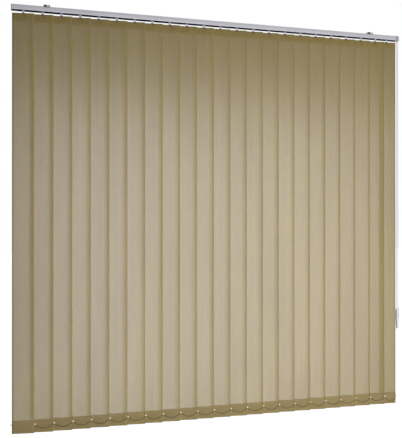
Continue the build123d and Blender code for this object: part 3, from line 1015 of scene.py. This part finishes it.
    def mould_hook(self) -> Workpiece:
        """Make the hanger stem: pinion, neck, collar, and the fork with its cross bar.

        Returns:
            The hook, at the origin.
        """
        piece = Workpiece()
        hook_top = self.sizes.rail_bottom - self.hook_top_gap
        pinion_level = self.sizes.rail_top - self.pinion_drop
        self.cut_pinion(piece, pinion_level)
        piece.rod((0, 0, hook_top), (0, 0, pinion_level), self.stem_radius)
        foot, brim = (0, 0, hook_top - self.collar_sink), (0, 0, hook_top + self.collar_rise)
        piece.rod(foot, brim, self.collar_radius, self.collar_top_radius, self.rim_sides, self.collar_round)
        bridge = (self.hook_width, self.hook_depth, self.bridge)
        piece.block(bridge, (0, 0, hook_top - self.bridge / 2), self.plate_round)
        cheek = (self.hook_depth - self.hook_slot) / 2
        fork_bottom = self.sizes.fabric_top + self.tab_rise - 2 * self.window
        height = hook_top - fork_bottom - 2 * self.cheek_gap
        for sign in (-1, 1):
            place = (0, sign * (self.hook_slot + cheek) / 2, hook_top - height / 2 - self.cheek_gap)
            piece.block((self.hook_width, cheek, height), place, self.cheek_round)
        bar = self.sizes.fabric_top + self.tab_rise - self.window + self.pin_rise
        reach = self.hook_depth / 2 - self.pin_sink
        piece.rod((0, -reach, bar), (0, reach, bar), self.hook_pin / 2, sides=self.pin_sides)
        piece.face_outwards()
        return piece

    def weld_lines(self) -> Workpiece:
        """Make the two rows of short welds that close the pockets.

        Returns:
            Both rows, along X at the origin.
        """
        step = (self.sizes.width - self.weld_margin) / self.weld_spots
        front = -self.cloth_thickness * 1.5
        row = Workpiece()
        for spot in range(self.weld_spots):
            x = (spot + 0.5) * step - self.weld_spots * step / 2
            row.block((step * self.weld_share, *self.weld_size), (x, front, 0))
        piece = Workpiece()
        upper = self.sizes.fabric_top - self.top_pocket - self.weld_offset
        lower = self.sizes.fabric_bottom + self.foot_pocket + self.weld_offset
        for level in (upper, lower):
            piece.add_copy(row, Matrix.Translation((0, 0, level)))
        row.mesh.free()
        return piece

    def hang_all(self) -> None:
        """Make all the louvres and hang each at its hook."""
        cloth = self.weave_cloth()
        fixed = (
            # The hanger takes the dark brown painted shade finish.
            ("hanger", self.mould_hanger(), self.finishes.hanger),
            ("ballast", self.mould_ballast(), self.finishes.ballast),
            ("clips", self.mould_clips(), self.finishes.clip),
            ("welds", self.weld_lines(), self.finishes.stitch),
            ("hook", self.mould_hook(), self.finishes.hook),
        )
        for number, hook_x in enumerate(self.sizes.hooks(), start=1):
            place = self.sizes.closed_place(hook_x)
            node = f"louvre_{number:02d}"
            hung = cloth.placed(Matrix.Identity(4))
            self.sway(hung, number)
            sheet = hung.placed(place).publish(f"{node}_cloth", self.finishes.cloth, node, "fabric", [node])
            thick = sheet.modifiers.new("thickness", "SOLIDIFY")
            thick.thickness = self.cloth_thickness
            thick.offset = 0.0
            added = [
                shape.placed(place).publish(f"{node}_{part}", finish, node, "fabric", [node])
                for part, shape, finish in fixed
            ]


@dataclass
class Headrail:
    """Slim aluminium channel with a gripping groove along each face, near-black strips of painted shade in its
    slot, and the bracket levers.
    """

    sizes: BlindSizes
    finishes: Finishes
    wall: float = 0.0012
    slot: float = 0.009
    groove_depth: float = 0.0006
    groove_top: float = 0.0011
    groove_bottom: float = 0.0025
    edge_round: float = 0.00022
    shade_film: float = 0.0002
    shade_film_stand: float = 0.00004
    shade_film_gap: float = 0.0002
    lip_gap: float = 0.0003
    bracket_spacing: float = 1.490
    lever_stand: float = 0.0022
    lever_shift: float = 0.004
    lever_tab: Triple = (0.009, 0.0012, 0.0070)
    lever_arm: Triple = (0.007, 0.0060, 0.0012)
    lever_arm_back: float = 0.0028
    lever_tab_level: float = -0.0038
    lever_arm_level: float = -0.0020
    lever_round: float = 0.0004

    def roll_channel(self) -> None:
        """Make the channel with softly rounded edges."""
        half = self.sizes.rail_depth / 2
        inner = half - self.wall
        top, bottom = self.sizes.rail_top, self.sizes.rail_bottom
        ledge = half - self.groove_depth
        right = [
            (half, top),
            (half, top - self.groove_top),
            (ledge, top - self.groove_top),
            (ledge, top - self.groove_bottom),
            (half, top - self.groove_bottom),
            (half, bottom),
            (self.slot / 2, bottom),
            (self.slot / 2, bottom + self.wall),
            (inner, bottom + self.wall),
            (inner, top - self.wall),
        ]
        outline = right + [(-y, z) for y, z in reversed(right)]
        piece = Workpiece()
        piece.profile(outline, self.sizes.rail_left, self.sizes.rail_right, self.edge_round)
        piece.publish("headrail_channel", self.finishes.rail, "frame", "rail", ["headrail"])

    def shade_slot(self) -> None:
        """Line the underside of both lips and the inside of the channel with near-black strips of painted shade.
        """
        half = self.sizes.rail_depth / 2
        inner = half - self.wall
        top, bottom = self.sizes.rail_top, self.sizes.rail_bottom
        film, gap = self.shade_film, 2 * self.shade_film_gap
        length = self.sizes.rail_right - self.sizes.rail_left - gap
        x = (self.sizes.rail_right + self.sizes.rail_left) / 2
        sink = film / 2 - self.shade_film_stand
        piece = Workpiece()
        for side in (-1, 1):
            lip = (length, half - self.slot / 2 - self.lip_gap, film)
            piece.block(lip, (x, side * (half + self.slot / 2) / 2, bottom - sink))
            cheek = (length, film, top - bottom - 2 * self.wall - gap)
            piece.block(cheek, (x, side * (inner - sink), (top + bottom) / 2))
            piece.block((length, film, self.wall), (x, side * (self.slot / 2 - sink), bottom + self.wall / 2))
        piece.block((length, 2 * inner - gap, film), (x, 0, top - self.wall - sink))
        # These near-black strips are painted shade where the slot lies in shadow.
        piece.publish("slot_lining", self.finishes.slot_shade, "frame", "rail")

    def add_bracket_levers(self) -> None:
        """Put a small white release lever on each ceiling bracket."""
        front = -self.sizes.rail_depth / 2 - self.lever_stand
        for hand in Hand:
            x = hand.value * self.bracket_spacing / 2 + self.lever_shift
            piece = Workpiece()
            piece.block(self.lever_tab, (x, front, self.lever_tab_level), self.lever_round)
            piece.block(self.lever_arm, (x, front + self.lever_arm_back, self.lever_arm_level), self.lever_round)
            piece.publish(f"{hand.name.lower()}_bracket_lever", self.finishes.white, "frame", "steel")

    def dress(self) -> None:
        """Make the channel, its strips of painted shade and the levers."""
        self.roll_channel()
        self.shade_slot()
        self.add_bracket_levers()


@dataclass
class StabilisingChain:
    """Bead chain that sags from clip to clip along one edge of the louvres."""

    sizes: BlindSizes
    finishes: Finishes
    edge: Edge
    bead_radius: float = 0.00115
    bead_gap: float = 0.0031
    wire_radius: float = 0.00055
    wire_sides: int = 4
    standoff: float = 0.00125
    clip_radius: float = 0.0029
    clip_thickness: float = 0.0018
    gathered_share: float = 0.18

    def plane(self) -> tuple[float, float]:
        """Find the upright plane that the chain hangs in.

        Returns:
            Its X offset from the hooks, and its Y.
        """
        reach = self.edge.value * self.sizes.ear_reach
        clip_front = self.clip_thickness / 2 * math.cos(CLOSED_ANGLE) + self.clip_radius * math.sin(CLOSED_ANGLE)
        away = self.edge.value * (clip_front + self.standoff)
        return reach * math.cos(CLOSED_ANGLE), -reach * math.sin(CLOSED_ANGLE) - away

    def string_span(self, span: float) -> Workpiece:
        """Make one sagging run of beads.

        Args:
            span: distance from a clip at the origin to the next one along X.

        Returns:
            The run, without a bead on either clip.
        """
        sag = math.sqrt(3 / 8 * span * (self.sizes.chain_length - span))
        count = round(self.sizes.chain_length / self.bead_gap)
        shares = [index / count for index in range(count + 1)]
        beads = [Vector((span * share, 0, -4 * sag * share * (1 - share))) for share in shares]
        run = Workpiece()
        for first, second in zip(beads, beads[1:]):
            run.rod(first, second, self.wire_radius, sides=self.wire_sides)
        for bead in beads[1:-1]:
            run.ball(bead, self.bead_radius)
        return run

    def hang(self) -> None:
        """Make the chain and let it ride with its ears."""
        name = f"{self.edge.name.lower()}_chain"
        offset_x, y = self.plane()
        piece = Workpiece()
        hooks = self.sizes.hooks()
        runs = {span: self.string_span(span) for span in (self.sizes.pitch, self.sizes.last_gap)}
        for left, right in zip(hooks, hooks[1:]):
            span = self.sizes.last_gap if right == hooks[-1] else self.sizes.pitch
            piece.add_copy(runs[span], Matrix.Translation((left + offset_x, y, self.sizes.ear_level)))
        # The beads carry the dark brown painted shadow colour.
        made = piece.publish(f"{name}_beads", self.finishes.chain, name, "chain", [name])
        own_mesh(made)


@dataclass
class PullCord:
    """Endless pull cord with the weight that keeps it straight, and its wrap on the cord wheel."""

    sizes: BlindSizes
    finishes: Finishes
    x: float = 0.8929
    rod_y: float = -0.0064
    rod_z: float = -0.0182
    half_gap: float = 0.005
    diameter: float = 0.0018
    mouth_z: float = -0.029
    turn_z: float = -1.350
    weight_top: float = -1.305
    weight_length: float = 0.096
    weight_radius: float = 0.00725
    weight_sides: int = 32
    straight_length: float = 0.050
    tip_radius: float = 0.004
    foot_round: Pairs = ((0.0012, 0.0), (0.0003, 0.0004), (0.0, 0.0014))
    waist_round: Pairs = ((0.0006, -0.006), (0.0001, -0.002), (0.0, 0.002))
    rim_round: Pairs = ((0.0, 0.0014), (0.0004, 0.0004), (0.0014, 0.0))
    slot: float = 0.0026
    slot_depth: float = 0.0468
    slot_length: float = 0.03
    bar_depth: float = 0.040
    bar_radius: float = 0.004
    bar_root: float = 0.0005
    bar_sides: int = 24
    side_shade_depth: float = 0.0030
    side_shade_width: float = 0.0060
    side_shade_margin: float = 0.004
    side_shade_stand: float = 0.0002
    side_shade_round: float = 0.0003

    def lead(self, name: str, levels: Sequence[float]) -> bpy.types.Object:
        """Lead a cord through some levels in front, and through the same behind.

        Args:
            name: the piece's name.
            levels: height of each control point in front, in order.

        Returns:
            The cord.
        """
        front, back = self.rod_y - self.half_gap, self.rod_y + self.half_gap
        points = [(self.x, front, level) for level in levels]
        points += [(self.x, back, level) for level in reversed(levels)]
        cord = round_cord(name, points, self.diameter, self.finishes.cord)
        settle(cord, "frame", ["pull_cord"])
        return cord

    def run_cord(self) -> None:
        """Make the hanging loop, and the part that goes over the wheel inside the control end."""
        straight = self.turn_z + STRAIGHT_DIAMETERS * self.diameter
        loop = self.lead("pull_cord_loop", (self.mouth_z, straight, self.turn_z))
        self.lead("pull_cord_wrap", (self.mouth_z, self.rod_z + self.half_gap))

    def add_part(self, piece: Workpiece, part: str, finish: Material) -> bpy.types.Object:
        """Publish one part of the weight."""
        return piece.publish(f"cord_weight_{part}", finish, "frame", "white_plastic", ["cord_weight"])

    def cut_slot(self, weight: bpy.types.Object) -> None:
        """Cut the slot that takes the loop into the weight, from above.

        Args:
            weight: the turned body of the weight.
        """
        piece = Workpiece()
        piece.block((self.slot, self.slot_length, 2 * self.slot_depth), (self.x, self.rod_y, self.weight_top))
        cutter = piece.finished("slot_cutter")
        cut = weight.modifiers.new("slot", "BOOLEAN")
        cut.operation = "DIFFERENCE"
        cut.solver = "EXACT"
        cut.object = cutter
        bpy.context.view_layer.update()
        shaped = bpy.data.meshes.new_from_object(weight.evaluated_get(bpy.context.evaluated_depsgraph_get()))
        weight.modifiers.clear()
        weight.data = shaped
        shaped.set_sharp_from_angle(angle=SHARP_ANGLE)
        bpy.data.objects.remove(cutter)

    def turn_weight(self) -> None:
        """Make the slim turned weight, slotted from above for the loop, with its bar."""
        base = self.weight_top - self.weight_length
        shoulder = self.weight_length - self.straight_length
        outline = [
            (0.0, 0.0),
            *((self.tip_radius - inset, rise) for inset, rise in self.foot_round),
            *((self.weight_radius - inset, shoulder + rise) for inset, rise in self.waist_round),
            *((self.weight_radius - inset, self.weight_length - drop) for inset, drop in self.rim_round),
            (0.0, self.weight_length),
        ]
        body = Workpiece()
        body.lathe(outline, (self.x, self.rod_y, base), self.weight_sides)
        self.cut_slot(self.add_part(body, "body", self.finishes.white))
        # The dark side strip is painted shade.
        self.add_side_shade(base, shoulder)
        bar = Workpiece()
        reach = self.slot / 2 + self.bar_root
        ends = ((self.x + way * reach, self.rod_y, self.weight_top - self.bar_depth) for way in (-1, 1))
        bar.rod(*ends, self.bar_radius, sides=self.bar_sides)
        self.add_part(bar, "bar", self.finishes.white)

    def add_side_shade(self, base: float, shoulder: float) -> None:
        """Inlay a near-black strip of painted shade down the side of the weight that faces the louvres.

        Args:
            base: level of the weight's foot.
            shoulder: height of the weight where its taper begins.
        """
        piece = Workpiece()
        mesh = piece.mesh
        x = self.x - (self.weight_radius - self.side_shade_depth / 2 + self.side_shade_stand)
        top = self.weight_top - self.side_shade_margin
        low = base + self.side_shade_margin
        piece.block((self.side_shade_depth, self.side_shade_width, top - low), (x, self.rod_y, (top + low) / 2))
        bend = base + shoulder
        whole = [*mesh.verts, *mesh.edges, *mesh.faces]
        bmesh.ops.bisect_plane(mesh, geom=whole, plane_co=(0, 0, bend), plane_no=(0, 0, 1))
        inward = (self.weight_radius - self.tip_radius) * (bend - low) / (bend - base)
        foot = [vert for vert in mesh.verts if vert.co.z < bend - 0.001]
        bmesh.ops.translate(mesh, verts=foot, vec=(inward, 0, 0))
        piece.round_off(mesh.edges[:], self.side_shade_round, 1)
        self.add_part(piece, "grip", self.finishes.grip)

    def make(self) -> None:
        """Make the cord and its weight."""
        self.run_cord()
        self.turn_weight()


@dataclass
class TraverseCord:
    """Cord that draws the carriers, running round both pulleys inside the rail."""

    finishes: Finishes
    level: float = -0.0124
    half_gap: float = 0.008
    left_x: float = -0.872
    right_x: float = 0.867
    diameter: float = 0.0016

    def run(self) -> None:
        """Make the closed loop of cord."""
        left, right = self.left_x - self.half_gap, self.right_x + self.half_gap
        lead = STRAIGHT_DIAMETERS * self.diameter
        stops = (left, left + lead, right - lead, right)
        points = [(x, -self.half_gap, self.level) for x in stops]
        points += [(x, self.half_gap, self.level) for x in reversed(stops)]
        loop = round_cord("traverse_cord_loop", points, self.diameter, self.finishes.cord, closed=True)
        settle(loop, "frame", ["traverse_cord"])


@dataclass
class CarriedNodes:
    """CAD nodes whose shape is right as it is, and the finish that each takes."""

    frame: dict
    sizes: BlindSizes
    finishes: Finishes

    def paint(self) -> None:
        """Give each node its finish."""
        coats = {
            "left_end_cap": self.finishes.end,
            "control_housing": self.finishes.end,
            "left_bracket": self.finishes.steel,
            "right_bracket": self.finishes.steel,
            "tilt_rod": self.finishes.rod,
            "cord_wheel": self.finishes.white,
            "idler_pulley": self.finishes.white,
            "traverse_pulley": self.finishes.white,
        }
        for number in range(1, self.sizes.louvres + 1):
            coats[f"carrier_{number:02d}"] = self.finishes.carrier
        for name, coat in coats.items():
            for slot in self.frame["nodes"][name].material_slots:
                slot.material = coat
            LOG.info("%s is finished in %s", name, coat.name)


@dataclass(frozen=True)
class Lamp:
    """A soft rectangular lamp: its place, the point it faces, its width and height, and its watts."""

    name: str
    place: Triple
    aim: Triple
    size: tuple[float, float]
    power: float

    def hang(self) -> None:
        """Put the lamp in the scene, out of the camera's sight."""
        data = bpy.data.lights.new(self.name, "AREA")
        data.shape = "RECTANGLE"
        data.size, data.size_y = self.size
        data.energy = self.power
        lamp = stand(self.name, data)
        lamp.location = self.place
        lamp.rotation_euler = (Vector(self.aim) - Vector(self.place)).to_track_quat("-Z", "Y").to_euler()
        lamp.visible_camera = False


@dataclass
class Studio:
    """Pale floor, plain soft lamps, white surroundings and the camera."""

    camera_place: Triple = (-0.949, -2.947, -0.884)
    camera_yaw: float = math.radians(16.4)
    camera_pitch: float = math.radians(0.1)
    lens: float = 62.7
    sensor: float = 36.0
    floor_level: float = -2.40
    floor_half: float = 30.0
    floor_tone: float = 0.86
    fill: float = 0.055
    lamps: tuple[Lamp, ...] = (
        Lamp("room_lamp", (0.60, -2.6, -1.05), (0.10, 0, -1.0), (1.8, 1.4), 66),
        Lamp("window_lamp", (0.015, 0.27, -1.105), (0.015, 0, -1.105), (1.73, 1.51), 9.7),
    )

    def set_camera(self) -> None:
        """Put the camera at the photograph's place."""
        data = bpy.data.cameras.new("camera")
        data.sensor_fit = "HORIZONTAL"
        data.sensor_width = self.sensor
        data.lens = self.lens
        data.clip_start = 0.05
        camera = stand("camera", data)
        camera.location = self.camera_place
        camera.rotation_euler = (math.pi / 2 + self.camera_pitch, 0, -self.camera_yaw)
        bpy.context.scene.camera = camera

    def lay_floor(self) -> None:
        """Lay a large pale floor below the blind, white to the camera."""
        piece = Workpiece()
        place = Matrix.Translation((0, 0, self.floor_level))
        bmesh.ops.create_grid(piece.mesh, x_segments=1, y_segments=1, size=self.floor_half, matrix=place)
        floor = piece.finished("floor")
        shading = Shading("floor_paint")
        tone = (self.floor_tone, self.floor_tone, self.floor_tone, 1)
        paint = shading.surface(Roughness=0.8, Specular_IOR_Level=0.1, Base_Color=tone).outputs["BSDF"]
        light = shading.filled("ShaderNodeEmission", Strength=1.0)
        both = shading.node("ShaderNodeAddShader")
        shading.join(paint, both.inputs[0])
        shading.join(light.outputs["Emission"], both.inputs[1])
        seen = shading.node("ShaderNodeLightPath").outputs["Is Camera Ray"]
        floor.data.materials.append(shading.show(shading.mixed(paint, both.outputs["Shader"], seen)))

    def set_surroundings(self) -> None:
        """Show white to the camera and in reflections, and light the rest gently."""
        shading = Shading("surroundings", world=True)
        bpy.context.scene.world = shading.owner
        soft, white = (
            shading.filled("ShaderNodeBackground", Color=WHITE, Strength=strength).outputs["Background"]
            for strength in (self.fill, 1.0)
        )
        rays = shading.node("ShaderNodeLightPath").outputs
        clear = shading.total(rays["Is Transmission Ray"], rays["Is Diffuse Ray"], "SUBTRACT", clamp=True)
        seen = shading.total(rays["Is Camera Ray"], rays["Is Glossy Ray"], "MAXIMUM")
        shading.show(shading.mixed(soft, white, shading.total(seen, clear, "MAXIMUM")))

    def build(self) -> None:
        """Set up everything round the blind."""
        self.set_camera()
        self.lay_floor()
        self.set_surroundings()
        for lamp in self.lamps:
            lamp.hang()
        bpy.context.scene.view_settings.view_transform = "Standard"


def main() -> None:
    """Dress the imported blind, piece by piece."""
    logging.basicConfig(level=logging.INFO, format="%(message)s")
    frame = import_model()
    sizes = BlindSizes()
    finishes = Finishes()
    Studio().build()
    PullCord(sizes, finishes).make()
    TraverseCord(finishes).run()
    Headrail(sizes, finishes).dress()
    Louvre(sizes, finishes).hang_all()
    for edge in Edge:
        StabilisingChain(sizes, finishes, edge).hang()
    CarriedNodes(frame, sizes, finishes).paint()
    bpy.context.view_layer.update()


if __name__ == "__main__":
    main()
